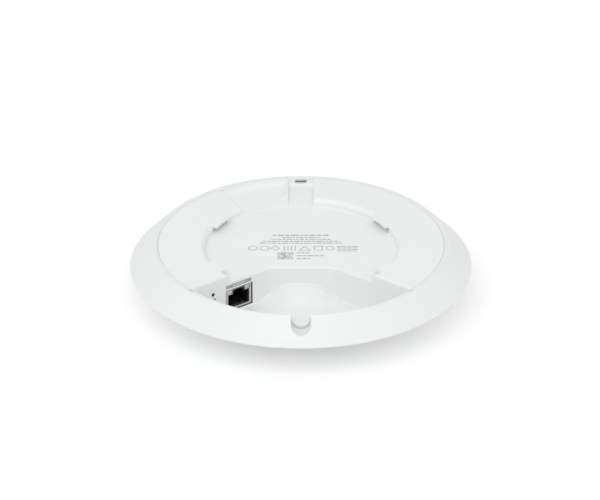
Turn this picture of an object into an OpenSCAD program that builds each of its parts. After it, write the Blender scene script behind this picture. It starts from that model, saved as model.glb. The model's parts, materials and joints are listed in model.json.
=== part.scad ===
// Ceiling access point, lying with its ceiling side up.
// Origin: centre of the bracket recess floor. +Z points to the ceiling, -Y is the cable notch.
// Units: millimetres.

/* [Overall] */
// Widest radius of the round housing
outer_radius = 85.75; // [85:0.05:87]
// Overall height from the ceiling face to the lowest point of the dome
overall_height = 33; // [32.6:0.1:36]
// Depth of the bracket recess below the ceiling face
recess_depth = 4.4; // [4.2:0.1:4.6]

/* [Front cover] */
// Outer radius of the flat strip that surrounds the back cover
strip_outer = 74.4; // [74.2:0.05:74.8]
// Bore of the front cover, where the parting line shows
ring_bore = 71.8; // [71.8:0.05:71.9]
// Slope of the bevel, degrees from the ceiling face
bevel_angle = 44.5; // [43.5:0.5:45]
// Rounding of the widest edge
rim_round = 0.9; // [0.8:0.1:1.2]
// Radius of the fine line near the widest edge
rim_line_radius = 84.1; // [84:0.05:84.2]
// Wall thickness of the dome and bevel
cover_wall = 2.2; // [2:0.1:2.2]
// Thickness of the flat strip
strip_thickness = 2.6; // [2.4:0.1:2.8]
// Radial thickness of the inner skirt
skirt_wall = 1.6; // [1.5:0.1:1.7]
// Depth of the inner skirt below the ceiling face
skirt_depth = 6.6; // [6.5:0.1:6.7]
// Ring radius at the ceiling face where it borders the port bay
bay_ring_top = 73.8; // [73.6:0.1:74]
// Ring radius below its lead-in, where it borders the port bay
bay_ring_low = 72.6; // [72.5:0.05:72.8]
// Height of the squared lip at the end of the latch channel
lip_proud = 0.6; // [0.4:0.1:0.7]

/* [Back cover] */
// Radius of the back cover
back_radius = 71.7; // [71.5:0.05:71.7]
// Floor thickness of the back cover
floor_wall = 2.2; // [2:0.1:2.2]
// Radius of the bracket recess at its floor
recess_radius = 48.3; // [48:0.1:48.5]
// Radius of the bracket recess at the ceiling face
recess_top_radius = 50; // [49.9:0.1:50.2]
// Height of the chamfer at the recess edge
recess_chamfer = 1.8; // [1.5:0.1:2]
// Tip radius of the four bracket lugs
lug_tip_radius = 46; // [45.5:0.1:46.5]
// Thickness of the bracket lugs
lug_thickness = 1.5; // [1.2:0.1:1.8]
// Half width of the latch channel at the back
channel_half = 6.6; // [6.4:0.1:6.8]
// Height of the latch channel floor above the recess floor
channel_floor = 0.3; // [0.2:0.1:0.4]
// Height of the lowered sector above the recess floor
sector_floor = 1.3; // [1.1:0.1:1.5]
// Width of the latch slot
slot_width = 6.2; // [6:0.1:6.4]
// Height of the latch slot
slot_height = 2.25; // [2:0.05:2.3]

/* [Port bay] */
// Y position of the middle wall of the bay
bay_back_y = -17.6; // [-17.8:0.1:-17.4]
// Half width of the middle wall of the bay before its corners
bay_back_half = 15.35; // [15.3:0.05:15.4]
// Corner radius of the bay in plan
bay_corner = 8; // [7:0.5:9]
// Depth of the bay floor below the ceiling face
bay_depth = 21.9; // [21.7:0.1:22]
// Wall thickness of the bay
bay_wall = 2; // [1.8:0.1:2]
// Inner radius of the front wall of the bay
bay_front_radius = 68.4; // [68:0.1:68.6]
// Outer radius of the front wall of the bay
bay_front_outer = 70.4; // [70.3:0.1:70.8]
// Depth of the top of the front wall below the ceiling face
bay_front_drop = 3.2; // [3:0.1:3.4]
// Radius of the cable notch
notch_radius = 4.9; // [4.5:0.1:5.2]
// Depth of the notch centre below the ceiling face
notch_drop = 3.7; // [3.4:0.05:3.9]

/* [Network jack] */
// Width of the metal shield
jack_width = 15.6; // [15.4:0.1:15.6]
// Depth of the metal shield
jack_depth = 18.2; // [17:0.1:18.2]
// Sheet thickness of the metal shield
shield_sheet = 0.25; // [0.2:0.05:0.3]
// Width of the plug cavity
plug_width = 11.8; // [11.7:0.05:11.9]

/* [Circuit board] */
// Radius of the board
board_radius = 66; // [65:0.5:67]
// Travel of the reset plunger
reset_travel = 0.3; // [0.2:0.05:0.3]

/* [Hidden] */
$fn = 96;
ceiling_z = recess_depth;
eps = 0.01;

// Rim and dome, worked out so every curve meets its neighbour tangentially
rim_r = outer_radius - rim_round;
rim_drop = ((rim_r - strip_outer) * sin(bevel_angle) + rim_round) / cos(bevel_angle);
rim_z = ceiling_z - rim_drop;
dome_angle = 2 * atan((overall_height - rim_drop - rim_round) / rim_r);
dome_radius = rim_r / sin(dome_angle) + rim_round;
dome_low_z = ceiling_z - overall_height;
dome_centre_z = dome_low_z + dome_radius;
rim_cross = 8;
strip_under_z = ceiling_z - strip_thickness;
skirt_low_z = ceiling_z - skirt_depth;
bevel_inner = [strip_outer - cover_wall * sin(bevel_angle), ceiling_z - cover_wall * cos(bevel_angle)];

// Back cover heights
plate_under_z = ceiling_z - floor_wall;
floor_under_z = -floor_wall;
recess_wall_outer = recess_top_radius + 1.5;
edge_inner = back_radius - 2;
lug_root = recess_top_radius + 0.4;
sector_wall_r = 71.1;
channel_end = 71.4;
channel_fillet = 2.5;
latch_tab_outer = 73.4;
slot_depth = 2.1;
slot_drop = 1.75;
sector_a = [-41.6, 57.8];
sector_b = [-30.9, 39];
rib_width = 1.2;
rib_top_z = ceiling_z - 1.1;
rib_front_y = 54.1;
rib_slope = 0.5;
gusset_reach = 2.6;
gusset_thick = 1;

// Port bay
port_wall_angle = 38;
hump_round = 15;
wall_point = [-36.6, -34.2];
bay_floor_z = ceiling_z - bay_depth;
bay_shell_gap = 0.4;
bay_floor_wall = 1.6;
bay_corner_x = bay_back_half - bay_corner * tan(port_wall_angle / 2);
bay_corner_y = bay_back_y - bay_corner;
bay_reach = 62;
hump_y = -10;
hump_top_z = ceiling_z - 13.8;
hump_inner_r = 5.7;
hump_drop = ceiling_z - 22 - hump_top_z;
hump_tilt = acos(1 + hump_drop / (2 * hump_round));
notch_z = ceiling_z - notch_drop;
notch_block = 7;
notch_hinge_r = 72;
notch_rise = 6.8;
notch_step = 1.6;
floor_step = 0.35;
tab_gap = 0.1;

// Network jack, in wall coordinates: x along the wall, y into the wall
jack_height = 11.2;
jack_x = -0.3;
jack_y = 0.2;
jack_top_z = ceiling_z - 9.1;
jack_low_z = jack_top_z - jack_height;
jack_mid_x = jack_x + jack_width / 2;
jack_open = [-0.5, 16.05, -16.5, -4.4];
cavity_low_z = jack_low_z + 1.25;
cavity_top_z = cavity_low_z + 6.7;
cavity_end_y = 14;
reset_x = -8.23;
reset_z = -3.9;
reset_hole = 2;
reset_nose = 1.9;
reset_nose_y = 0.3;
reset_body_y = 3.6;
reset_body = [4.7, 3.5, 2];
reset_pocket = 1.75;
reset_plunger = [2, 2.1, 1.1];
reset_back_y = reset_body_y + reset_pocket - 0.05 - reset_travel;

// Board stack, all below the back cover
board_thickness = 1.6;
board_low_z = jack_top_z;
board_top_z = board_low_z + board_thickness;
board_gap = 0.6;
sheet_thickness = 0.25;
can_height = 3;
pad_height = 1.5;
spreader_z = board_low_z - can_height - pad_height;
spreader_thickness = 2;
spreader_legs = [[-24, 40], [24, 40], [-47, 5], [47, 5]];
board_bosses = [[-61.5, -6], [61.5, -6], [-37.1, 48.4], [37.1, 48.4]];
hook_angles = [0, 40, 70, 110, 140, 180, 210, 330];
lugs_back = [[23, 39], [141, 157]];
lugs_front = [[203.4, 216.6], [323.4, 336.6]];
antenna_angles = [30, 75, 105, 150];

white = [0.93, 0.93, 0.93];
warm_white = [0.9, 0.9, 0.89];
steel = [0.72, 0.73, 0.75];
black = [0.07, 0.07, 0.08];
gold = [0.83, 0.66, 0.25];
green = [0.05, 0.3, 0.16];
grey = [0.4, 0.41, 0.42];

// ---- helpers ----

// A wedge between two angles, wider than any part it cuts
module wedge(a0, a1, z0, z1) {
    far = 160;
    mid = (a0 + a1) / 2;
    translate([0, 0, z0])
        linear_extrude(height = z1 - z0)
            polygon([[0, 0], [far * cos(a0), far * sin(a0)], [far * cos(mid), far * sin(mid)],
                [far * cos(a1), far * sin(a1)]]);
}

module disc(r, z0, z1) {
    translate([0, 0, z0])
        cylinder(r = r, h = z1 - z0);
}

module block(x0, x1, y0, y1, z0, z1) {
    translate([x0, y0, z0])
        cube([x1 - x0, y1 - y0, z1 - z0]);
}

// A ring with a rectangular section
module ring(r0, r1, z0, z1) {
    difference() {
        disc(r1, z0, z1);
        disc(r0, z0 - 1, z1 + 1);
    }
}

// Left port wall: x runs along the wall, y runs into the wall
module at_port_wall() {
    translate([wall_point[0], wall_point[1], 0])
        rotate([0, 0, port_wall_angle])
            children();
}

// Points along an arc, both ends included
function arc_points(centre, r, a0, a1, n) =
    [for (i = [0:n]) centre + r * [cos(a0 + (a1 - a0) * i / n), sin(a0 + (a1 - a0) * i / n)]];

function mirror_x(points) = [for (i = [len(points) - 1:-1:0]) [-points[i][0], points[i][1]]];

// Plan of the port bay, grown outward by d
module bay_plan(d) {
    c = cos(port_wall_angle);
    s = sin(port_wall_angle);
    corner = arc_points([bay_corner_x, bay_corner_y], bay_corner + d, 90 - port_wall_angle, 90, 8);
    far = corner[0] + bay_reach * [c, -s];
    right = concat([[far[0], far[1] - 30], far], corner);
    polygon(concat(right, mirror_x(right)));
}

module bay_prism(d, z0, z1) {
    translate([0, 0, z0])
        linear_extrude(height = z1 - z0)
            bay_plan(d);
}

module dome_ball(inset) {
    translate([0, 0, dome_centre_z])
        sphere(r = dome_radius - inset);
}

// Smooth hump over the inner corner of the bay floor, grown by d
module hump(d) {
    base = bay_floor_z - 3;
    crown = [hump_inner_r, hump_top_z - hump_round];
    foot = crown + 2 * hump_round * [sin(hump_tilt), cos(hump_tilt)];
    convex = arc_points(crown, hump_round + d, 90, 90 - hump_tilt, 9);
    concave = arc_points(foot, hump_round - d, 270 - hump_tilt, 270, 9);
    translate([0, hump_y, 0])
        rotate_extrude()
            polygon(concat([[0, base], [0, convex[0][1]]], convex,
                [for (i = [1:9]) concave[i]], [[foot[0], base]]));
}

// Open space of the port bay
module bay_void() {
    difference() {
        intersection() {
            bay_prism(0, bay_floor_z, ceiling_z + 1);
            dome_ball(cover_wall + bay_shell_gap + bay_floor_wall);
            union() {
                disc(bay_front_radius, bay_floor_z - 1, ceiling_z + 2);
                disc(outer_radius, ceiling_z - bay_front_drop, ceiling_z + 2);
            }
        }
        hump(0);
    }
}

// Rounded groove where the cable leaves toward -Y; its floor rises outward by an angle
module cable_notch(rise) {
    translate([0, -notch_hinge_r, notch_z])
        rotate([90 - rise, 0, 0])
            union() {
                translate([0, 0, -6])
                    cylinder(r = notch_radius, h = 24);
                translate([-notch_radius, 0, -6])
                    cube([2 * notch_radius, 12, 24]);
            }
}

// Plan of the lowered sector beside the latch channel, grown by d
module sector_plan(d) {
    run = sector_a - sector_b;
    u = run / norm(run);
    side = [-u[1], u[0]] * d;
    inner = sector_b - u * 15 + side;
    outer = sector_a + u * 15 + side;
    polygon([inner, outer, [-channel_half + 1, 95], [-channel_half + 1, 20]]);
}

module sector_void() {
    rise = ceiling_z - sector_floor;
    difference() {
        intersection() {
            translate([0, 0, sector_floor])
                linear_extrude(height = ceiling_z)
                    sector_plan(0);
            rotate_extrude()
                polygon(concat([[0, sector_floor]],
                    arc_points([sector_wall_r - rise, ceiling_z], rise, -90, 0, 8),
                    [[sector_wall_r, ceiling_z + 1], [0, ceiling_z + 1]]));
        }
        latch_rib();
    }
}

// Thin rib beside the latch channel, lower than the plateau, with a small gusset at its front end
module latch_rib() {
    x0 = -channel_half - rib_width;
    translate([x0, 0, 0])
        rotate([90, 0, 90])
            linear_extrude(height = rib_width)
                polygon([[rib_front_y, -1], [rib_front_y, sector_floor],
                    [rib_front_y + rib_slope, rib_top_z], [back_radius + 5, rib_top_z],
                    [back_radius + 5, -1]]);
    translate([0, rib_front_y + rib_slope + gusset_thick, 0])
        rotate([90, 0, 0])
            linear_extrude(height = gusset_thick)
                polygon([[x0 + 0.1, -1], [x0 + 0.1, rib_top_z], [x0, rib_top_z],
                    [x0 - gusset_reach, sector_floor], [x0 - gusset_reach, -1]]);
}

// Open space of the latch channel; its floor curves up into the end wall
module channel_void() {
    intersection() {
        block(-channel_half, channel_half, 40, 80, channel_floor - 1, ceiling_z + 2);
        rotate_extrude()
            polygon(concat([[0, channel_floor]],
                arc_points([channel_end - channel_fillet, channel_floor + channel_fillet],
                    channel_fillet, -90, 0, 8),
                [[channel_end, ceiling_z + 2], [0, ceiling_z + 2]]));
    }
}

// End wall of the latch channel, standing a little above the ceiling face; d is a clearance
module latch_tab(d) {
    intersection() {
        block(-channel_half - d, channel_half + d, 60, 80, channel_floor - floor_wall - 10 * d,
            ceiling_z + lip_proud + 5 * d);
        disc(latch_tab_outer + d, -20, 20);
    }
}

// ---- covers ----

module front_cover() {
    color(white)
        difference() {
            union() {
                difference() {
                    cover_envelope();
                    cover_cavity();
                    disc(ring_bore, strip_under_z - 1, ceiling_z + 1);
                }
                ring(ring_bore, ring_bore + skirt_wall, skirt_low_z, ceiling_z - 0.5);
                intersection() {
                    ring(bay_ring_low, bay_ring_low + 1.9, ceiling_z - 11, ceiling_z - 0.5);
                    bay_prism(1, -20, 20);
                }
                intersection() {
                    cover_envelope();
                    difference() {
                        block(-notch_block, notch_block, -90, -60, ceiling_z - 12, ceiling_z - 0.5);
                        disc(bay_ring_low, -30, 20);
                    }
                }
            }
            bay_ring_cut();
            cable_notch(notch_rise);
            latch_tab(tab_gap);
            hook_windows();
            translate([0, 0, dome_low_z - 1])
                cylinder(r = 3, h = 8);
        }
}

// One turned profile, trimmed below by the ball of the dome
module cover_envelope() {
    start = 90 - bevel_angle;
    stop = dome_angle + rim_cross - 90;
    slope = [sin(stop), -cos(stop)];
    edge = arc_points([rim_r, rim_z], rim_round, start, stop, 10);
    last = edge[len(edge) - 1] + slope * 4;
    low_z = dome_low_z - 3;
    intersection() {
        rotate_extrude()
            polygon(concat([[0, ceiling_z], [strip_outer, ceiling_z]], rim_line(), edge,
                [last, [last[0], low_z], [0, low_z]]));
        dome_ball(0);
    }
}

// Fine groove across the bevel
function rim_line() =
    [for (p = [[-0.16, 0], [0, -0.14], [0.16, 0]])
        [rim_line_radius + p[0] + p[1] * sin(bevel_angle),
            ceiling_z - (rim_line_radius + p[0] - strip_outer) * tan(bevel_angle)
            + p[1] * cos(bevel_angle)]];

module cover_cavity() {
    low_z = dome_low_z - 2;
    intersection() {
        dome_ball(cover_wall);
        rotate_extrude()
            polygon([[0, strip_under_z],
                [bevel_inner[0] + (bevel_inner[1] - strip_under_z) / tan(bevel_angle), strip_under_z],
                [bevel_inner[0] + (bevel_inner[1] - low_z) / tan(bevel_angle), low_z], [0, low_z]]);
    }
}

module bay_ring_cut() {
    low_z = ceiling_z - 12;
    intersection() {
        bay_prism(0, low_z, ceiling_z + 2);
        union() {
            disc(bay_ring_low, low_z - 1, ceiling_z + 1);
            translate([0, 0, ceiling_z - bay_front_drop])
                cylinder(r1 = bay_ring_low, r2 = bay_ring_top, h = bay_front_drop + eps);
        }
    }
}

// Slot through the tab that catches the bracket latch
module latch_slot_cut() {
    half = (slot_width - slot_height) / 2;
    start = channel_end - 3;
    length = slot_depth + 3;
    translate([0, start, ceiling_z - slot_drop])
        rotate([-90, 0, 0])
            union() {
                translate([-half, 0, 0])
                    cylinder(r = slot_height / 2, h = length);
                translate([half, 0, 0])
                    cylinder(r = slot_height / 2, h = length);
                translate([-half, -slot_height / 2, 0])
                    cube([2 * half, slot_height, length]);
            }
}

module hook_windows() {
    for (a = hook_angles) {
        rotate([0, 0, a])
            block(ring_bore - 1, ring_bore + skirt_wall + 0.2, -4.5, 4.5, -1, 0.8);
    }
}

module snap_hooks() {
    intersection() {
        disc(ring_bore + 0.6, -0.8, 0.6);
        union() {
            for (a = hook_angles) {
                rotate([0, 0, a])
                    block(back_radius - 1, 80, -4, 4, -2, 2);
            }
        }
    }
}

module back_cover() {
    color(warm_white)
        union() {
            difference() {
                union() {
                    back_plate();
                    latch_tab(0);
                    bay_tub();
                    snap_hooks();
                    board_boss_posts();
                }
                recess_void();
                lug_pockets();
                sector_void();
                channel_void();
                latch_slot_cut();
                bay_void();
                translate([0, 0, notch_step])
                    cable_notch(0);
                boss_holes();
                at_port_wall()
                    block(jack_open[0], jack_open[1], -4, bay_wall + 1, jack_open[2], jack_open[3]);
                at_port_wall()
                    translate([reset_x, -2, reset_z])
                        rotate([-90, 0, 0])
                            cylinder(d = reset_hole, h = 6);
            }
            lugs();
        }
}

// Open space of the bracket recess, chamfered at its top and along its floor
module recess_void() {
    rotate_extrude()
        polygon([[0, 0], [recess_radius - floor_step, 0], [recess_radius, floor_step],
            [recess_radius, ceiling_z - recess_chamfer], [recess_top_radius, ceiling_z],
            [recess_top_radius, ceiling_z + 1], [0, ceiling_z + 1]]);
}

// Plate with the hollow below its raised annulus
module back_plate() {
    difference() {
        disc(back_radius, floor_under_z, ceiling_z);
        difference() {
            ring(recess_wall_outer, edge_inner, floor_under_z - 1, plate_under_z);
            translate([0, 0, sector_floor - floor_wall])
                linear_extrude(height = 10)
                    sector_plan(2);
            block(-channel_half - 2, channel_half + 2, 40, 80, channel_floor - floor_wall, 10);
            bay_prism(bay_wall, -20, 20);
        }
    }
}

// Walls, floor and hump of the bay before its open space is cut
module bay_tub() {
    low_z = bay_floor_z - bay_floor_wall;
    difference() {
        intersection() {
            union() {
                intersection() {
                    bay_prism(bay_wall, low_z, plate_under_z);
                    disc(back_radius, low_z - 1, plate_under_z + 1);
                }
                intersection() {
                    bay_prism(-0.2, low_z, ceiling_z - bay_front_drop);
                    disc(bay_front_outer, low_z - 1, plate_under_z + 1);
                }
            }
            dome_ball(cover_wall + bay_shell_gap);
        }
        intersection() {
            hump(-bay_floor_wall);
            bay_prism(-bay_wall / 2, low_z - 5, ceiling_z);
        }
    }
}

module lug_pockets() {
    under_z = ceiling_z - lug_thickness;
    for (a = concat(lugs_back, lugs_front)) {
        intersection() {
            wedge(a[0], a[1], 0, under_z);
            disc(recess_top_radius, -1, under_z + 1);
        }
    }
}

module lugs() {
    for (a = concat(lugs_back, lugs_front)) {
        intersection() {
            ring(lug_tip_radius, lug_root, ceiling_z - lug_thickness, ceiling_z);
            wedge(a[0], a[1], -1, ceiling_z + 1);
        }
    }
}

module board_boss_posts() {
    for (p = board_bosses) {
        translate([p[0], p[1], board_top_z])
            cylinder(r = 3.2, h = plate_under_z + 0.2 - board_top_z);
    }
}

module boss_holes() {
    for (p = board_bosses) {
        translate([p[0], p[1], board_top_z - 1])
            cylinder(r = 1.25, h = 3.9);
    }
}

// ---- circuit board and what it carries ----

module board_outline(d, z0, z1) {
    difference() {
        disc(board_radius + d, z0, z1);
        bay_prism(bay_wall + board_gap - d, z0 - 1, z1 + 1);
        at_port_wall()
            block(reset_x - 2.6, reset_x + 2.6, 0, 7.4, z0 - 1, z1 + 1);
    }
}

module main_board() {
    color(green)
        difference() {
            board_outline(0, board_low_z, board_top_z);
            for (p = board_bosses) {
                translate([p[0], p[1], board_low_z - 1])
                    cylinder(r = 1.5, h = 5);
            }
            for (p = spreader_legs) {
                translate([p[0], p[1], board_low_z - 1])
                    cylinder(r = 1.5, h = 5);
            }
        }
}

module insulator_sheet() {
    color(grey)
        difference() {
            board_outline(-2.5, board_top_z, board_top_z + sheet_thickness);
            for (p = board_bosses) {
                translate([p[0], p[1], board_top_z - 1])
                    cylinder(r = 3.7, h = 5);
            }
            for (p = spreader_legs) {
                translate([p[0], p[1], board_top_z - 1])
                    cylinder(r = 3.2, h = 5);
            }
        }
}

module board_screws() {
    color(steel)
        for (p = board_bosses) {
            translate([p[0], p[1], board_low_z])
                difference() {
                    union() {
                        cylinder(r = 1.24, h = 4.4);
                        translate([0, 0, -1.5])
                            cylinder(r = 2.4, h = 1.5);
                    }
                    translate([0, 0, -2])
                        cylinder(r = 0.9, h = 1.3, $fn = 6);
                }
        }
}

module heat_spreader() {
    color(steel)
        difference() {
            union() {
                intersection() {
                    disc(52, spreader_z - spreader_thickness, spreader_z);
                    block(-60, 60, 5, 60, -30, 0);
                }
                for (p = spreader_legs) {
                    translate([p[0], p[1], spreader_z - spreader_thickness])
                        cylinder(r = 3.5, h = board_low_z - spreader_z + spreader_thickness);
                }
            }
            for (p = spreader_legs) {
                translate([p[0], p[1], board_low_z - 3.5])
                    cylinder(r = 1.25, h = 5);
            }
        }
}

module heat_spreader_screws() {
    color(steel)
        for (p = spreader_legs) {
            translate([p[0], p[1], board_top_z])
                difference() {
                    union() {
                        cylinder(r = 2.6, h = 0.8);
                        translate([0, 0, -4.6])
                            cylinder(r = 1.24, h = 4.7);
                    }
                    translate([0, 0, 0.3])
                        cylinder(r = 0.9, h = 1, $fn = 6);
                }
        }
}

module thermal_pads() {
    color([0.55, 0.6, 0.7])
        for (p = [[0, 26, 24, 24], [-32, 22, 16, 14], [32, 22, 16, 14]]) {
            translate([p[0] - p[2] / 2, p[1] - p[3] / 2, spreader_z])
                cube([p[2], p[3], pad_height]);
        }
}

// Drawn metal can, open toward the board
module shield_can(x, y, w, d) {
    sheet = 0.2;
    color(steel)
        translate([x - w / 2, y - d / 2, board_low_z - can_height])
            difference() {
                cube([w, d, can_height]);
                translate([sheet, sheet, sheet])
                    cube([w - 2 * sheet, d - 2 * sheet, can_height]);
            }
}

module shield_can_processor() {
    shield_can(0, 26, 34, 34);
}

module shield_can_radio_left() {
    shield_can(-32, 22, 26, 22);
}

module shield_can_radio_right() {
    shield_can(32, 22, 26, 22);
}

// Square package soldered to the underside of the board
module chip(x, y, w, d, h) {
    color(black)
        translate([x - w / 2, y - d / 2, board_low_z - h])
            cube([w, d, h]);
}

module processor_chip() {
    chip(-4, 26, 14, 14, 1.4);
}

module memory_chips() {
    chip(10, 33, 9, 7.5, 1.1);
    chip(10, 19, 9, 7.5, 1.1);
}

module radio_chip_left() {
    chip(-32, 22, 9, 9, 1);
}

module radio_chip_right() {
    chip(32, 22, 9, 9, 1);
}

// Stamped antenna: a flat arm on two legs
module antenna(a) {
    arm_z = board_low_z - 7.5;
    color(gold)
        rotate([0, 0, a])
            union() {
                difference() {
                    block(56.5, 62.5, -10, 10, arm_z, arm_z + 0.4);
                    block(58.8, 60.2, -7, 11, arm_z - 1, arm_z + 1);
                }
                block(56.5, 56.9, -10, -7.5, arm_z, board_low_z);
                block(56.5, 56.9, -4, -2.5, arm_z, board_low_z);
                block(62.1, 62.5, -10, -7.5, arm_z, board_low_z);
            }
}

module antenna_right() {
    antenna(antenna_angles[0]);
}

module antenna_back_right() {
    antenna(antenna_angles[1]);
}

module antenna_back_left() {
    antenna(antenna_angles[2]);
}

module antenna_left() {
    antenna(antenna_angles[3]);
}

module ethernet_transformer() {
    color(black)
        at_port_wall()
            union() {
                block(0, 14.5, 21, 30, board_low_z - 5.6, board_low_z - 0.2);
                for (i = [0:7]) {
                    block(0.8 + 1.7 * i, 1.3 + 1.7 * i, 20.2, 30.8, board_low_z - 0.5, board_low_z);
                }
            }
}

module poe_transformer_core() {
    color(grey)
        difference() {
            block(29.5, 42.5, -16.5, -3.5, board_low_z - 11, board_low_z - 1);
            block(28, 44, -14, -6, board_low_z - 9, board_low_z - 3);
        }
}

module poe_transformer_coil() {
    color([0.75, 0.6, 0.2])
        union() {
            block(30.5, 41.5, -13.8, -6.2, board_low_z - 8.8, board_low_z - 3.2);
            block(31.5, 40.5, -18.6, -16.5, board_low_z - 1, board_low_z);
            block(31.5, 40.5, -3.5, -1.4, board_low_z - 1, board_low_z);
            block(31.5, 40.5, -16.5, -3.5, board_low_z - 1, board_low_z);
        }
}

module bulk_capacitors() {
    color([0.2, 0.2, 0.24])
        for (p = [[50, -16], [44, -26.5]]) {
            translate([p[0], p[1], board_low_z - 10])
                cylinder(r = 5, h = 10);
        }
}

module power_inductors() {
    color(grey)
        for (y = [-8.5, 2]) {
            translate([15.5, y - 4, board_low_z - 4])
                cube([8, 8, 4]);
        }
}

module status_led() {
    color([0.95, 0.95, 0.85])
        block(-1.6, 1.6, -0.8, 0.8, board_low_z - 1, board_low_z);
}

module status_light_guide() {
    flange_r = 5;
    seat_z = dome_centre_z - sqrt(pow(dome_radius - cover_wall, 2) - pow(flange_r, 2));
    color([0.92, 0.95, 0.97])
        union() {
            disc(2.9, dome_low_z + 0.1, seat_z + 0.5);
            disc(flange_r, seat_z, seat_z + 1.2);
            disc(2.5, seat_z + 1, board_low_z - 1.5);
        }
}

// ---- network jack ----

module jack_mouth(y0, y1) {
    mid = jack_mid_x;
    union() {
        block(mid - 6.5, mid + 6.5, y0, y1, cavity_low_z - 0.2, cavity_top_z + 0.6);
        block(mid - 3.8, mid + 3.8, y0, y1, cavity_top_z, jack_top_z - 0.3);
        block(mid - 6.8, mid - 3.9, y0, y1, jack_top_z - 2.3, jack_top_z - 0.4);
        block(mid + 3.9, mid + 6.8, y0, y1, jack_top_z - 2.3, jack_top_z - 0.4);
    }
}

module rj45_shield() {
    color(steel)
        at_port_wall()
            difference() {
                block(jack_x, jack_x + jack_width, jack_y, jack_y + jack_depth, jack_low_z, jack_top_z);
                block(jack_x + shield_sheet, jack_x + jack_width - shield_sheet, jack_y + shield_sheet,
                    jack_y + jack_depth - shield_sheet, jack_low_z + shield_sheet,
                    jack_top_z - shield_sheet);
                jack_mouth(jack_y - 1, jack_y + 1);
            }
}

module rj45_housing() {
    mid = jack_mid_x;
    skin = shield_sheet + 0.05;
    front = jack_y + shield_sheet + 0.05;
    color(black)
        at_port_wall()
            difference() {
                block(jack_x + skin, jack_x + jack_width - skin, front, jack_y + jack_depth - 1,
                    jack_low_z + skin, jack_top_z - skin);
                block(mid - plug_width / 2, mid + plug_width / 2, front - 1, cavity_end_y,
                    cavity_low_z, cavity_top_z);
                block(mid - 3.2, mid + 3.2, front - 1, 12, cavity_top_z - 1, cavity_top_z + 1.5);
                block(mid - 2, mid + 2, front - 1, 12, cavity_top_z, jack_top_z - 0.9);
                block(mid - 6.7, mid - 3.8, front - 1, front + 4, jack_top_z - 2.4, jack_top_z - 0.1);
                block(mid + 3.8, mid + 6.7, front - 1, front + 4, jack_top_z - 2.4, jack_top_z - 0.1);
            }
}

// Eight bent strips; section drawn with depth into the wall first, height second
module rj45_contacts() {
    pitch = 1.02;
    strip_width = 0.4;
    rise = 1.5;
    color(gold)
        at_port_wall()
            for (i = [0:7]) {
                translate([jack_mid_x + (i - 3.5) * pitch - strip_width / 2, 0, 0])
                    rotate([90, 0, 90])
                        linear_extrude(height = strip_width)
                            polygon([[0.9, cavity_low_z], [1.5, cavity_low_z],
                                [11.5, cavity_low_z + rise], [cavity_end_y, cavity_low_z + rise],
                                [cavity_end_y, cavity_low_z + rise + 0.4],
                                [11.3, cavity_low_z + rise + 0.4], [1, cavity_low_z + 0.4]]);
            }
}

// Foam frame that closes the gap between the shield and the wall of the bay
module rj45_gasket() {
    x0 = jack_open[0];
    x1 = jack_open[1];
    color(black)
        at_port_wall()
            difference() {
                block(x0, x1, 0.15, 1.9, jack_open[2], jack_open[3]);
                block(jack_x, jack_x + jack_width, 0, 3, jack_low_z, jack_top_z);
            }
}

module rj45_light_windows() {
    mid = jack_mid_x;
    y0 = jack_y + shield_sheet + 0.1;
    color([0.85, 0.9, 0.85])
        at_port_wall()
            union() {
                block(mid - 6.65, mid - 3.85, y0, y0 + 3.95, jack_top_z - 2.35, jack_top_z - 0.3);
                block(mid + 3.85, mid + 6.65, y0, y0 + 3.95, jack_top_z - 2.35, jack_top_z - 0.3);
            }
}

// ---- reset switch, sunk into the edge of the board ----

module reset_switch_body() {
    gap = 0.1;
    color(black)
        at_port_wall()
            translate([reset_x, reset_body_y, reset_z])
                difference() {
                    union() {
                        translate([-reset_body[0] / 2, 0, -reset_body[2] / 2])
                            cube(reset_body);
                        block(-3.6, 3.6, 1, 3, board_low_z - reset_z - 0.3, board_low_z - reset_z);
                    }
                    block(-reset_plunger[0] / 2 - gap, reset_plunger[0] / 2 + gap, -1, reset_pocket + 0.15,
                        -reset_plunger[2] / 2 - gap, reset_plunger[2] / 2 + gap);
                }
}

module reset_switch_dome() {
    color(gold)
        at_port_wall()
            translate([reset_x, reset_body_y + reset_pocket, reset_z])
                block(-0.9, 0.9, 0, 0.15, -0.5, 0.5);
}

// Slider whose round nose reaches into the reset hole
module reset_switch_plunger() {
    nose_root = 0.2 - reset_plunger[1];
    color([0.85, 0.84, 0.8])
        at_port_wall()
            translate([reset_x, reset_back_y, reset_z])
                union() {
                    block(-reset_plunger[0] / 2, reset_plunger[0] / 2, -reset_plunger[1], 0,
                        -reset_plunger[2] / 2, reset_plunger[2] / 2);
                    translate([0, nose_root, 0])
                        rotate([90, 0, 0])
                            cylinder(d = reset_nose, h = reset_back_y + nose_root - reset_nose_y);
                }
}

front_cover();
back_cover();
status_light_guide();
status_led();
main_board();
insulator_sheet();
board_screws();
heat_spreader();
heat_spreader_screws();
thermal_pads();
shield_can_processor();
shield_can_radio_left();
shield_can_radio_right();
processor_chip();
memory_chips();
radio_chip_left();
radio_chip_right();
antenna_right();
antenna_back_right();
antenna_back_left();
antenna_left();
rj45_shield();
rj45_housing();
rj45_contacts();
rj45_light_windows();
rj45_gasket();
ethernet_transformer();
poe_transformer_core();
poe_transformer_coil();
bulk_capacitors();
power_inductors();
reset_switch_body();
reset_switch_dome();
reset_switch_plunger();
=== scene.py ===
import json
import math

import bmesh
import bpy
from mathutils import Matrix, Vector
from mathutils.bvhtree import BVHTree


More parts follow.
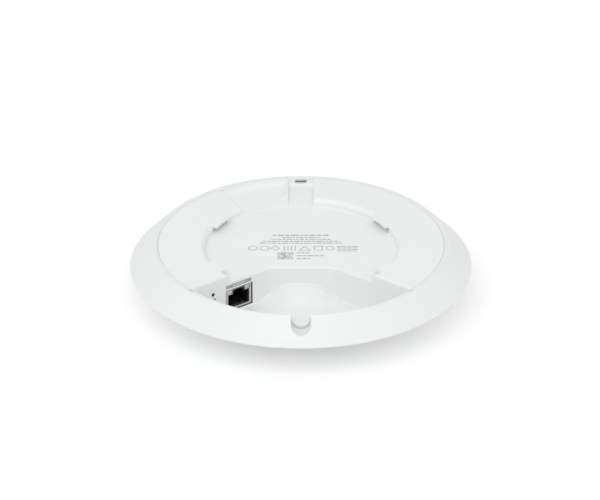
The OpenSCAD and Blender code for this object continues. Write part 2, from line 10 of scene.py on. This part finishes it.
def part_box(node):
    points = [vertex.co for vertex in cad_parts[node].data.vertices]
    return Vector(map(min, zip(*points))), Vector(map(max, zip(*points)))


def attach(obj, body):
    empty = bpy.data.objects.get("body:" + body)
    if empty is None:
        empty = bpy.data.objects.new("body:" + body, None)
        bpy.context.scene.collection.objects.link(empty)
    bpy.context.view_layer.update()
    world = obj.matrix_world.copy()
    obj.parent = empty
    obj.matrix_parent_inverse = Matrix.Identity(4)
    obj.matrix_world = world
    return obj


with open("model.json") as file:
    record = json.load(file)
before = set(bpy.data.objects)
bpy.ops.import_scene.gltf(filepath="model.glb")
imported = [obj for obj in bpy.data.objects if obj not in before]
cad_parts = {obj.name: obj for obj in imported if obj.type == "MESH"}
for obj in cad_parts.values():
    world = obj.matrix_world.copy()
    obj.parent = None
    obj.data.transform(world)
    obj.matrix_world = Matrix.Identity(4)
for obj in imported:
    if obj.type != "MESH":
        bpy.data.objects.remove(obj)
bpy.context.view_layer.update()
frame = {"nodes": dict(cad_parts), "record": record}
nodes = frame["nodes"]
MM = 0.001

# ---------------------------------------------------------------- geometry facts
mounts = {mount["name"]: mount for mount in frame["record"]["mounts"]}
CEILING_Z = mounts["ceiling_face"]["pos_m"][2]
FLOOR_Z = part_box("front_cover")[0].z
# The port wall: a point on it, its turn about the vertical, and a frame with x along it, y up it
WALL_POINT = Vector((-0.0366, -0.0342, 0.0))
WALL_TURN = math.radians(38)
WALL_FACE = (Matrix.Translation(WALL_POINT) @ Matrix.Rotation(WALL_TURN, 4, "Z")
             @ Matrix.Rotation(math.radians(90), 4, "X"))
# Points of the CAD mesh closer than this are one point, in metres
MERGE = 0.000002
# How near a mesh point has to be to a wall line, in millimetres, and to a level, in metres
LINE_MATCH = 0.02
LEVEL_MATCH = 0.00001


# ---------------------------------------------------------------- materials
def shader(name, color, roughness, metallic=0.0):
    """A new material and its main shader node."""
    mat = bpy.data.materials.new(name)
    mat.use_nodes = True
    bsdf = mat.node_tree.nodes["Principled BSDF"]
    bsdf.inputs["Base Color"].default_value = (*color, 1)
    bsdf.inputs["Roughness"].default_value = roughness
    bsdf.inputs["Metallic"].default_value = metallic
    return mat, bsdf


def noise(mat, scale, detail=4.0, stretch=(1, 1, 1)):
    """A noise fixed to the object, finer along an axis with a larger stretch."""
    tree = mat.node_tree
    coord = tree.nodes.new("ShaderNodeTexCoord")
    mapping = tree.nodes.new("ShaderNodeMapping")
    mapping.inputs["Scale"].default_value = stretch
    tex = tree.nodes.new("ShaderNodeTexNoise")
    tex.inputs["Scale"].default_value = scale
    tex.inputs["Detail"].default_value = detail
    tree.links.new(coord.outputs["Object"], mapping.inputs["Vector"])
    tree.links.new(mapping.outputs["Vector"], tex.inputs["Vector"])
    return tex.outputs["Fac"]


def mix_color(mat, fac, low, high):
    """A colour that drifts between two with the noise."""
    ramp = mat.node_tree.nodes.new("ShaderNodeValToRGB")
    ramp.color_ramp.elements[0].color = (*low, 1)
    ramp.color_ramp.elements[1].color = (*high, 1)
    ramp.color_ramp.elements[0].position = 0.35
    ramp.color_ramp.elements[1].position = 0.65
    mat.node_tree.links.new(fac, ramp.inputs["Fac"])
    return ramp.outputs["Color"]


def vary(mat, bsdf, fac, low, high):
    """Roughness that follows the noise from low to high."""
    span = mat.node_tree.nodes.new("ShaderNodeMapRange")
    span.inputs["To Min"].default_value = low
    span.inputs["To Max"].default_value = high
    mat.node_tree.links.new(fac, span.inputs["Value"])
    mat.node_tree.links.new(span.outputs["Result"], bsdf.inputs["Roughness"])


def bump(mat, bsdf, fac, strength, distance):
    """Relief that follows the noise, its height in metres."""
    node = mat.node_tree.nodes.new("ShaderNodeBump")
    node.inputs["Strength"].default_value = strength
    node.inputs["Distance"].default_value = distance
    mat.node_tree.links.new(fac, node.inputs["Height"])
    mat.node_tree.links.new(node.outputs["Normal"], bsdf.inputs["Normal"])


def plastic(name, color, shade, roughness, grain=3200):
    """Moulded plastic: a very fine spark-eroded grain and a faint drift in tone."""
    mat, bsdf = shader(name, color, roughness)
    drift = noise(mat, 35, 3)
    fine = noise(mat, grain, 2)
    mat.node_tree.links.new(mix_color(mat, drift, shade, color), bsdf.inputs["Base Color"])
    vary(mat, bsdf, fine, roughness - 0.05, roughness + 0.07)
    bump(mat, bsdf, fine, 0.12, 0.00002)
    return mat


def metal(name, color, shade, roughness, stretch=(1, 1, 1)):
    """Bare or plated metal; stretch draws its grain out into brush marks."""
    mat, bsdf = shader(name, color, roughness, 1.0)
    grain = noise(mat, 400, 5, stretch)
    mat.node_tree.links.new(mix_color(mat, grain, shade, color), bsdf.inputs["Base Color"])
    vary(mat, bsdf, grain, roughness - 0.06, roughness + 0.1)
    bump(mat, bsdf, grain, 0.2, 0.00001)
    return mat


def clear(name, color, roughness, see_through):
    """Frosted clear plastic with a faint cloud in its roughness."""
    mat, bsdf = shader(name, color, roughness)
    cloud = noise(mat, 260, 3)
    bsdf.inputs["Transmission Weight"].default_value = see_through
    bsdf.inputs["IOR"].default_value = 1.49
    vary(mat, bsdf, cloud, roughness, roughness + 0.15)
    return mat


def circuit(name):
    """Solder mask over a faint grid of tracks."""
    mat, bsdf = shader(name, (0.012, 0.09, 0.045), 0.38)
    tree = mat.node_tree
    coord = tree.nodes.new("ShaderNodeTexCoord")
    brick = tree.nodes.new("ShaderNodeTexBrick")
    brick.inputs["Scale"].default_value = 240
    brick.inputs["Mortar Size"].default_value = 0.012
    brick.inputs["Color1"].default_value = (0.012, 0.085, 0.043, 1)
    brick.inputs["Color2"].default_value = (0.014, 0.1, 0.05, 1)
    brick.inputs["Mortar"].default_value = (0.03, 0.17, 0.08, 1)
    tree.links.new(coord.outputs["Object"], brick.inputs["Vector"])
    tree.links.new(brick.outputs["Color"], bsdf.inputs["Base Color"])
    vary(mat, bsdf, noise(mat, 90), 0.3, 0.45)
    return mat


MATS = {
    # The front cover is the same white plastic as the back cover, but its colour is set darker:
    # painted shade that tones down its brightly lit bevel.
    "front": plastic("white_front_shaded", (0.805, 0.813, 0.818), (0.797, 0.805, 0.81), 0.42),
    "back": plastic("white_back", (0.848, 0.856, 0.859), (0.84, 0.848, 0.851), 0.46),
    "clear": clear("frosted_plastic", (0.86, 0.88, 0.88), 0.35, 0.4),
    "milky": plastic("light_window", (0.62, 0.63, 0.61), (0.55, 0.56, 0.54), 0.3),
    "foam": plastic("black_foam", (0.01, 0.01, 0.01), (0.006, 0.006, 0.006), 0.85, 1500),
    "led": plastic("led_body", (0.8, 0.8, 0.62), (0.72, 0.72, 0.55), 0.3),
    "board": circuit("board_green"),
    "film": plastic("grey_film", (0.1, 0.1, 0.11), (0.08, 0.08, 0.09), 0.5),
    "steel": metal("zinc_steel", (0.62, 0.63, 0.65), (0.5, 0.51, 0.53), 0.32),
    "tin": metal("bright_tin", (0.6, 0.61, 0.62), (0.48, 0.49, 0.5), 0.28, (1, 1, 9)),
    "alu": metal("aluminium", (0.72, 0.73, 0.75), (0.62, 0.63, 0.65), 0.36, (1, 14, 1)),
    # The jack's contacts: a darker, duller gold than the antennas' gold.
    "contact": metal("dark_gold", (0.3, 0.24, 0.13), (0.22, 0.17, 0.09), 0.42),
    "gold": metal("gold_flash", (0.85, 0.62, 0.24), (0.7, 0.5, 0.18), 0.25),
    "black": plastic("black_plastic", (0.012, 0.012, 0.013), (0.008, 0.008, 0.009), 0.42),
    "package": plastic("chip_epoxy", (0.02, 0.02, 0.022), (0.012, 0.012, 0.014), 0.55, 1800),
    "pad": plastic("thermal_pad", (0.3, 0.36, 0.46), (0.25, 0.31, 0.4), 0.75, 900),
    "ferrite": plastic("ferrite", (0.05, 0.05, 0.055), (0.03, 0.03, 0.034), 0.6, 1200),
    "tape": plastic("coil_tape", (0.62, 0.42, 0.06), (0.5, 0.33, 0.04), 0.35),
    "sleeve": plastic("cap_sleeve", (0.03, 0.03, 0.06), (0.02, 0.02, 0.04), 0.28),
    "ink": plastic("grey_ink", (0.42, 0.43, 0.44), (0.38, 0.39, 0.4), 0.55),
    "pale_ink": plastic("pale_ink", (0.8, 0.805, 0.81), (0.75, 0.755, 0.76), 0.55),
    "ink_bar": plastic("port_bar_ink", (0.37, 0.375, 0.38), (0.33, 0.335, 0.34), 0.5),
    "ink_dark": plastic("dark_ink", (0.2, 0.205, 0.21), (0.18, 0.185, 0.19), 0.5),
}

LOOK = {
    "front_cover": "front", "back_cover": "back", "status_light_guide": "clear",
    "status_led": "led", "main_board": "board", "insulator_sheet": "film",
    "board_screws": "steel", "heat_spreader": "alu", "heat_spreader_screws": "steel",
    "thermal_pads": "pad", "shield_can_processor": "tin", "shield_can_radio_left": "tin",
    "shield_can_radio_right": "tin", "processor_chip": "package", "memory_chips": "package",
    "radio_chip_left": "package", "radio_chip_right": "package", "antenna_right": "gold",
    "antenna_back_right": "gold", "antenna_back_left": "gold", "antenna_left": "gold",
    "rj45_shield": "tin", "rj45_housing": "black", "rj45_contacts": "contact",
    "rj45_light_windows": "milky", "rj45_gasket": "foam", "ethernet_transformer": "package",
    "poe_transformer_core": "ferrite", "poe_transformer_coil": "tape",
    "bulk_capacitors": "sleeve", "power_inductors": "ferrite",
    "reset_switch_body": "black", "reset_switch_dome": "gold", "reset_switch_plunger": "black",
}
# Edge rounding in millimetres, where the real part has a moulded or pressed radius
ROUND = {
    "front_cover": 0.12, "back_cover": 0.2, "rj45_housing": 0.12, "poe_transformer_core": 0.3,
    "power_inductors": 0.4, "bulk_capacitors": 0.5, "processor_chip": 0.15,
    "memory_chips": 0.12, "heat_spreader": 0.3, "thermal_pads": 0.2,
}
# The back cover has a small slope around the port bay and a soft edge along its lowered sector
BAY_SLOPE = 0.8
SOFT_RADIUS = 0.5
# The hollow radius at the foot of the bay's wall. It starts at the jack, and the whole foot lies
# below FOOT_TOP_Z. FOOT_BURY is how deep its hidden back sits in the cover, in metres.
FOOT_RADIUS = 0.85
FOOT_START_X = -0.037
FOOT_TOP_Z = -0.0085
FOOT_BURY = 0.0002
FOOT_STEPS = 5
# Plan of the bay's upright wall, in millimetres: a straight back, two round corners, two flanks
BAY_BACK_Y = -17.6
BAY_CORNER = 8.0
BAY_CORNER_X = 12.595
# The lowered sector's straight edge, from the recess to the rim, in millimetres
SECTOR_IN = Vector((-30.9, 39.0))
SECTOR_OUT = Vector((-41.6, 57.8))


def on_bay_wall(co):
    """True where a point lies on the upright wall of the port bay."""
    x, y = -abs(co.x) / MM, co.y / MM
    if x > -BAY_CORNER_X:
        miss = y - BAY_BACK_Y
    elif x > -BAY_CORNER_X - BAY_CORNER * math.sin(WALL_TURN):
        miss = math.hypot(x + BAY_CORNER_X, y - BAY_BACK_Y + BAY_CORNER) - BAY_CORNER
    else:
        miss = ((x - WALL_POINT.x / MM) * math.sin(WALL_TURN)
                - (y - WALL_POINT.y / MM) * math.cos(WALL_TURN))
    return abs(miss) < LINE_MATCH


def bay_rim(mesh):
    """The points along the top edge of the port bay, on the recess floor and the ceiling face."""
    return [v.index for v in mesh.vertices
            if on_bay_wall(v.co) and min(abs(v.co.z), abs(v.co.z - CEILING_Z)) < LEVEL_MATCH]


def sector_rim(mesh):
    """The points along the straight upper edge of the lowered sector."""
    run = (SECTOR_OUT - SECTOR_IN).normalized()
    chosen = []
    for v in mesh.vertices:
        step = v.co.xy / MM - SECTOR_IN
        if abs(step.cross(run)) < LINE_MATCH and abs(v.co.z - CEILING_Z) < LEVEL_MATCH:
            chosen.append(v.index)
    return chosen


def bevel(node, name, width, method, segments):
    """A bevel modifier; width is in millimetres."""
    rounding = node.modifiers.new(name, "BEVEL")
    rounding.width = width * MM
    rounding.segments = segments
    rounding.limit_method = method
    rounding.angle_limit = math.radians(28)
    rounding.use_clamp_overlap = False
    return rounding


def round_edges(node, width, merge_faces=False, slope=(), soft=()):
    """Join the facets, round the edges, and keep the wide faces flat."""
    join = node.modifiers.new("join_edges", "WELD")
    join.merge_threshold = MERGE
    if merge_faces:
        plain = node.modifiers.new("plain_faces", "DECIMATE")
        plain.decimate_type = "DISSOLVE"
        plain.angle_limit = math.radians(0.2)
    if slope:
        node.vertex_groups.new(name="slope_edges").add(slope, 1.0, "REPLACE")
        bevel(node, "edge_slope", BAY_SLOPE, "VGROUP", 1).vertex_group = "slope_edges"
    if soft:
        node.vertex_groups.new(name="soft_edges").add(soft, 1.0, "REPLACE")
        bevel(node, "soft_round", SOFT_RADIUS, "VGROUP", 5).vertex_group = "soft_edges"
    bevel(node, "edge_round", width, "ANGLE", 3)
    flat = node.modifiers.new("face_normals", "WEIGHTED_NORMAL")
    flat.mode = "FACE_AREA"
    flat.weight = 50
    flat.keep_sharp = False


for name, node in nodes.items():
    node.data.materials.clear()
    node.data.materials.append(MATS[LOOK[name]])
    if name == "back_cover":
        round_edges(node, ROUND[name], True, bay_rim(node.data), sector_rim(node.data))
    elif name in ROUND:
        round_edges(node, ROUND[name])


# ---------------------------------------------------------------- printed marks
def piece(name, build, mat, place=None):
    """A part of the housing made by build(bm), moved by place if it has one."""
    mesh = bpy.data.meshes.new(name)
    bm = bmesh.new()
    build(bm)
    bmesh.ops.recalc_face_normals(bm, faces=bm.faces)
    bm.to_mesh(mesh)
    bm.free()
    obj = bpy.data.objects.new(name, mesh)
    bpy.context.scene.collection.objects.link(obj)
    if place is not None:
        mesh.transform(place)
    mesh.materials.append(mat)
    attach(obj, "housing")


def slab(bm, x0, x1, y0, y1, z0, z1):
    """A thin rectangle of ink, in millimetres."""
    verts = [bm.verts.new((x * MM, y * MM, z * MM))
             for z in (z0, z1) for x, y in ((x0, y0), (x1, y0), (x1, y1), (x0, y1))]
    for f in ((3, 2, 1, 0), (4, 5, 6, 7), (0, 1, 5, 4), (1, 2, 6, 5), (2, 3, 7, 6), (3, 0, 4, 7)):
        bm.faces.new([verts[i] for i in f])


# Thickness of the ink, in millimetres
INK = 0.03


def floor_rows(bm):
    """Generic rows standing in for the printed label: short dashes, no letters."""
    widths = (1.7, 3.1, 2.3, 4.2, 1.3)
    # Each row: its middle, half its length, the height of its dashes, how far they are stretched
    rows = [(16.5, 14.2, 1.05, 1.0), (14.2, 9.5, 0.8, 0.7), (12.1, 15.0, 0.8, 0.7),
            (10.0, 19.6, 0.8, 0.7), (8.0, 20.9, 0.8, 0.7)]
    for row, (y, half, tall, stretch) in enumerate(rows):
        x = -half
        step = 0
        while x < half - 0.6:
            wide = stretch * widths[(step + 2 * row) % len(widths)]
            slab(bm, x, min(x + wide, half), y - tall / 2, y + tall / 2, 0, INK)
            x += wide + 0.7 * stretch
            step += 1


def line_path(bm, points, width, closed=False, z=0.0):
    """A flat stroke of ink of one width along a run of points."""
    count = len(points)
    spans = count if closed else count - 1
    normals = []
    for i in range(spans):
        ax, ay = points[i]
        bx, by = points[(i + 1) % count]
        length = math.hypot(bx - ax, by - ay)
        normals.append((-(by - ay) / length, (bx - ax) / length))
    left, right = [], []
    for i in range(count):
        before = normals[(i - 1) % spans] if closed or i > 0 else normals[0]
        after = normals[i % spans] if closed or i < spans else normals[-1]
        nx, ny = before[0] + after[0], before[1] + after[1]
        size = nx * nx + ny * ny
        nx, ny = nx * width / size, ny * width / size
        px, py = points[i]
        left.append((px + nx, py + ny))
        right.append((px - nx, py - ny))
    rails = [[bm.verts.new((x * MM, y * MM, h * MM)) for x, y in side]
             for side, h in ((left, z), (right, z), (left, z + INK), (right, z + INK))]
    low_l, low_r, top_l, top_r = rails
    for i in range(spans):
        j = (i + 1) % count
        bm.faces.new((top_l[i], top_r[i], top_r[j], top_l[j]))
        bm.faces.new((low_l[j], low_r[j], low_r[i], low_l[i]))
        bm.faces.new((top_l[j], low_l[j], low_l[i], top_l[i]))
        bm.faces.new((top_r[i], low_r[i], low_r[j], top_r[j]))
    if not closed:
        bm.faces.new((top_l[0], low_l[0], low_r[0], top_r[0]))
        bm.faces.new((top_r[-1], low_r[-1], low_l[-1], top_l[-1]))


def arc(cx, cy, radius, start, stop, count=20):
    """Points along an arc, its angles in degrees."""
    return [(cx + radius * math.cos(math.radians(start + (stop - start) * i / count)),
             cy + radius * math.sin(math.radians(start + (stop - start) * i / count)))
            for i in range(count + 1)]


def ring_mark(bm, x, y, radius, width):
    """A plain ring of 20 straight runs."""
    line_path(bm, arc(x, y, radius, 0, 342, 19), width, closed=True)


def symbol_row(bm):
    """A row of plain shapes, rings, frames and bars, that stand for no real mark."""
    stroke = 0.45
    mid = 2.6
    ring_mark(bm, -24.0, mid, 2.2, stroke)
    ring_mark(bm, -18.2, mid, 2.2, stroke)
    line_path(bm, [(-15.2, mid), (-12.9, mid + 2.3), (-10.6, mid), (-12.9, mid - 2.3)],
              stroke, closed=True)
    for x in (-8.3, -6.5, -4.7, -2.9):
        line_path(bm, [(x, mid - 2.4), (x, mid + 2.4)], stroke)
    line_path(bm, [(-0.9, mid - 2.2), (1.9, mid + 2.0), (4.7, mid - 2.2)],
              stroke, closed=True)
    line_path(bm, [(6.8, mid - 2.1), (10.8, mid - 2.1), (10.8, mid + 2.1), (6.8, mid + 2.1)],
              stroke, closed=True)
    ring_mark(bm, 14.6, mid, 2.0, stroke)
    for row, y in enumerate((4.4, 2.9, 1.2, -0.4)):
        x = 18.2
        for wide in ((1.6, 2.6, 1.2, 3.4), (2.4, 1.1, 3.0, 1.7))[row % 2]:
            slab(bm, x, x + wide, y - 0.35, y + 0.35, 0, INK)
            x += wide + 0.6


def square_block(bm):
    """A square of scattered cells beside three plain rows; it encodes nothing."""
    cells = 13
    pitch = 7.7 / cells
    for i in range(cells):
        for j in range(cells):
            if (i * 7 + j * 11 + i * j * 5 + i * i * 3) % 9 < 5:
                x = -11.7 + i * pitch
                y = -9.3 + j * pitch
                slab(bm, x, x + pitch * 0.98, y, y + pitch * 0.98, 0, INK)
    rows = ((-2.3, (1.3, 1.9, 2.2)), (-5.4, (2.6, 1.7, 3.4, 2.0, 1.9)), (-8.5, (1.9, 2.3, 1.4)))
    for y, widths in rows:
        x = -2.0
        for wide in widths:
            slab(bm, x, x + wide, y - 0.45, y + 0.45, 0, INK)
            x += wide + 0.5


def port_bar(bm):
    """The plain bar printed over the network port, laid on the port wall."""
    slab(bm, -0.4, 15.3, -3.6, -1.6, 0, INK)


def bar_dashes(bm):
    """Short pale slanted dashes in the middle of the bar."""
    for i in range(7):
        x = 4.3 + i * 1.05
        line_path(bm, [(x, -3.05), (x + 0.45, -2.15)], 0.42, z=INK)


def reset_mark(bm):
    """A small open ring under the reset hole."""
    line_path(bm, arc(-7.8, -6.65, 0.85, -130, 130), 0.32)


# ---------------------------------------------------------------- moulded radius
def into_bay(co):
    """The level direction from a point on the bay's wall into the open bay."""
    side = math.copysign(1, co.x)
    x, y = abs(co.x) / MM, co.y / MM
    if x < BAY_CORNER_X:
        return Vector((0, -1, 0))
    if x < BAY_CORNER_X + BAY_CORNER * math.sin(WALL_TURN):
        return Vector((side * (BAY_CORNER_X - x), BAY_BACK_Y - BAY_CORNER - y, 0)).normalized()
    return Vector((-side * math.sin(WALL_TURN), -math.cos(WALL_TURN), 0))


def foot_corners(cover):
    """The points along the foot of the bay's wall, from one flank to the other."""
    run = {}
    for edge in cover.edges:
        if len(edge.link_faces) != 2 or not all(on_bay_wall(v.co) for v in edge.verts):
            continue
        floor_face = max(edge.link_faces, key=lambda face: face.normal.z)
        start = edge.verts[0].co
        reach = (floor_face.calc_center_median() - start).dot(into_bay(start))
        if floor_face.normal.z < 0.3 or reach < MM / 10:
            continue
        for v in edge.verts:
            if v.co.z < FOOT_TOP_Z and v.co.x > FOOT_START_X:
                run[round(v.co.x / MM, 2)] = v.co.copy()
    return [run[x] for x in sorted(run)]


def bay_foot(bm):
    """The small hollow radius where the bay's wall meets its floor and hump."""
    cover = bmesh.new()
    cover.from_mesh(nodes["back_cover"].data)
    bmesh.ops.remove_doubles(cover, verts=cover.verts, dist=MERGE)
    surface = BVHTree.FromBMesh(cover)
    radius = FOOT_RADIUS * MM
    down = Vector((0, 0, -1))
    rings = []
    for corner in foot_corners(cover):
        side = into_bay(corner)
        high = corner - down * radius
        low = surface.ray_cast(high + side * radius - down * 2 * MM, down, 6 * MM)[0]
        if low is None:
            continue
        # Half way to the chord, so that the hollow is shallower than a quarter circle
        pull = corner * 0.5 + (high + low) * 0.25
        ring = []
        for i in range(FOOT_STEPS + 1):
            t = i / FOOT_STEPS
            ring.append(high * (1 - t) ** 2 + pull * (2 * t * (1 - t)) + low * t * t)
        ring.append(corner + (down - side) * FOOT_BURY)
        rings.append([bm.verts.new(point) for point in ring])
    cover.free()
    for a, b in zip(rings, rings[1:]):
        for i in range(len(a)):
            j = (i + 1) % len(a)
            bm.faces.new((a[i], a[j], b[j], b[i])).smooth = i < FOOT_STEPS
    bm.faces.new(rings[0])
    bm.faces.new(list(reversed(rings[-1])))


# ---------------------------------------------------------------- pieces on the housing
piece("label_rows", floor_rows, MATS["ink"])
piece("label_symbols", symbol_row, MATS["ink"])
piece("label_square", square_block, MATS["ink"])
piece("port_bar", port_bar, MATS["ink_bar"], WALL_FACE)
piece("port_bar_dashes", bar_dashes, MATS["pale_ink"], WALL_FACE)
piece("bay_foot_radius", bay_foot, MATS["back"])
piece("reset_mark", reset_mark, MATS["ink_dark"], WALL_FACE)

# ---------------------------------------------------------------- stage
floor_mesh = bpy.data.meshes.new("floor")
bm = bmesh.new()
bmesh.ops.create_grid(bm, x_segments=1, y_segments=1, size=6)
bm.to_mesh(floor_mesh)
bm.free()
floor = bpy.data.objects.new("floor", floor_mesh)
floor.location.z = FLOOR_Z
bpy.context.scene.collection.objects.link(floor)
# A white paper floor with a weak glow of its own, so that it is plain white away from the shadow
floor_mat, floor_bsdf = shader("floor_paper", (0.87, 0.87, 0.87), 0.9)
floor_bsdf.inputs["Emission Color"].default_value = (1, 1, 1, 1)
floor_bsdf.inputs["Emission Strength"].default_value = 0.175
floor_bsdf.inputs["Specular IOR Level"].default_value = 0.1
floor_mesh.materials.append(floor_mat)

world = bpy.data.worlds.new("studio")
bpy.context.scene.world = world
world.use_nodes = True
world.node_tree.nodes["Background"].inputs["Color"].default_value = (1, 1, 1, 1)
world.node_tree.nodes["Background"].inputs["Strength"].default_value = 0.8
bpy.context.scene.view_settings.view_transform = "Standard"


def softbox(name, at, size, power):
    """A rectangular area light aimed at the object."""
    light = bpy.data.lights.new(name, "AREA")
    light.shape = "RECTANGLE"
    light.size, light.size_y = size
    light.energy = power
    obj = bpy.data.objects.new(name, light)
    obj.location = at
    obj.rotation_euler = (-Vector(at)).to_track_quat("-Z", "Y").to_euler()
    bpy.context.scene.collection.objects.link(obj)


softbox("key", (-0.36, -2.15, 2.35), (2.6, 1.8), 31.8)

# ---------------------------------------------------------------- camera
camera_data = bpy.data.cameras.new("camera")
camera = bpy.data.objects.new("camera", camera_data)
bpy.context.scene.collection.objects.link(camera)
bpy.context.scene.camera = camera
camera_data.sensor_width = 36
camera_data.lens = 205.3
ELEVATION = math.radians(28.06)
DISTANCE = 1.715
# How far the view's middle lies from the middle of the ceiling face, to the right and up
AIM_RIGHT = -0.000441
AIM_UP = -0.003558
look = Vector((0, math.cos(ELEVATION), -math.sin(ELEVATION)))
right = Vector((1, 0, 0))
up = right.cross(look)
camera.location = Vector((0, 0, CEILING_Z)) - look * DISTANCE + right * AIM_RIGHT + up * AIM_UP
camera.rotation_euler = Matrix((right, up, -look)).transposed().to_euler()
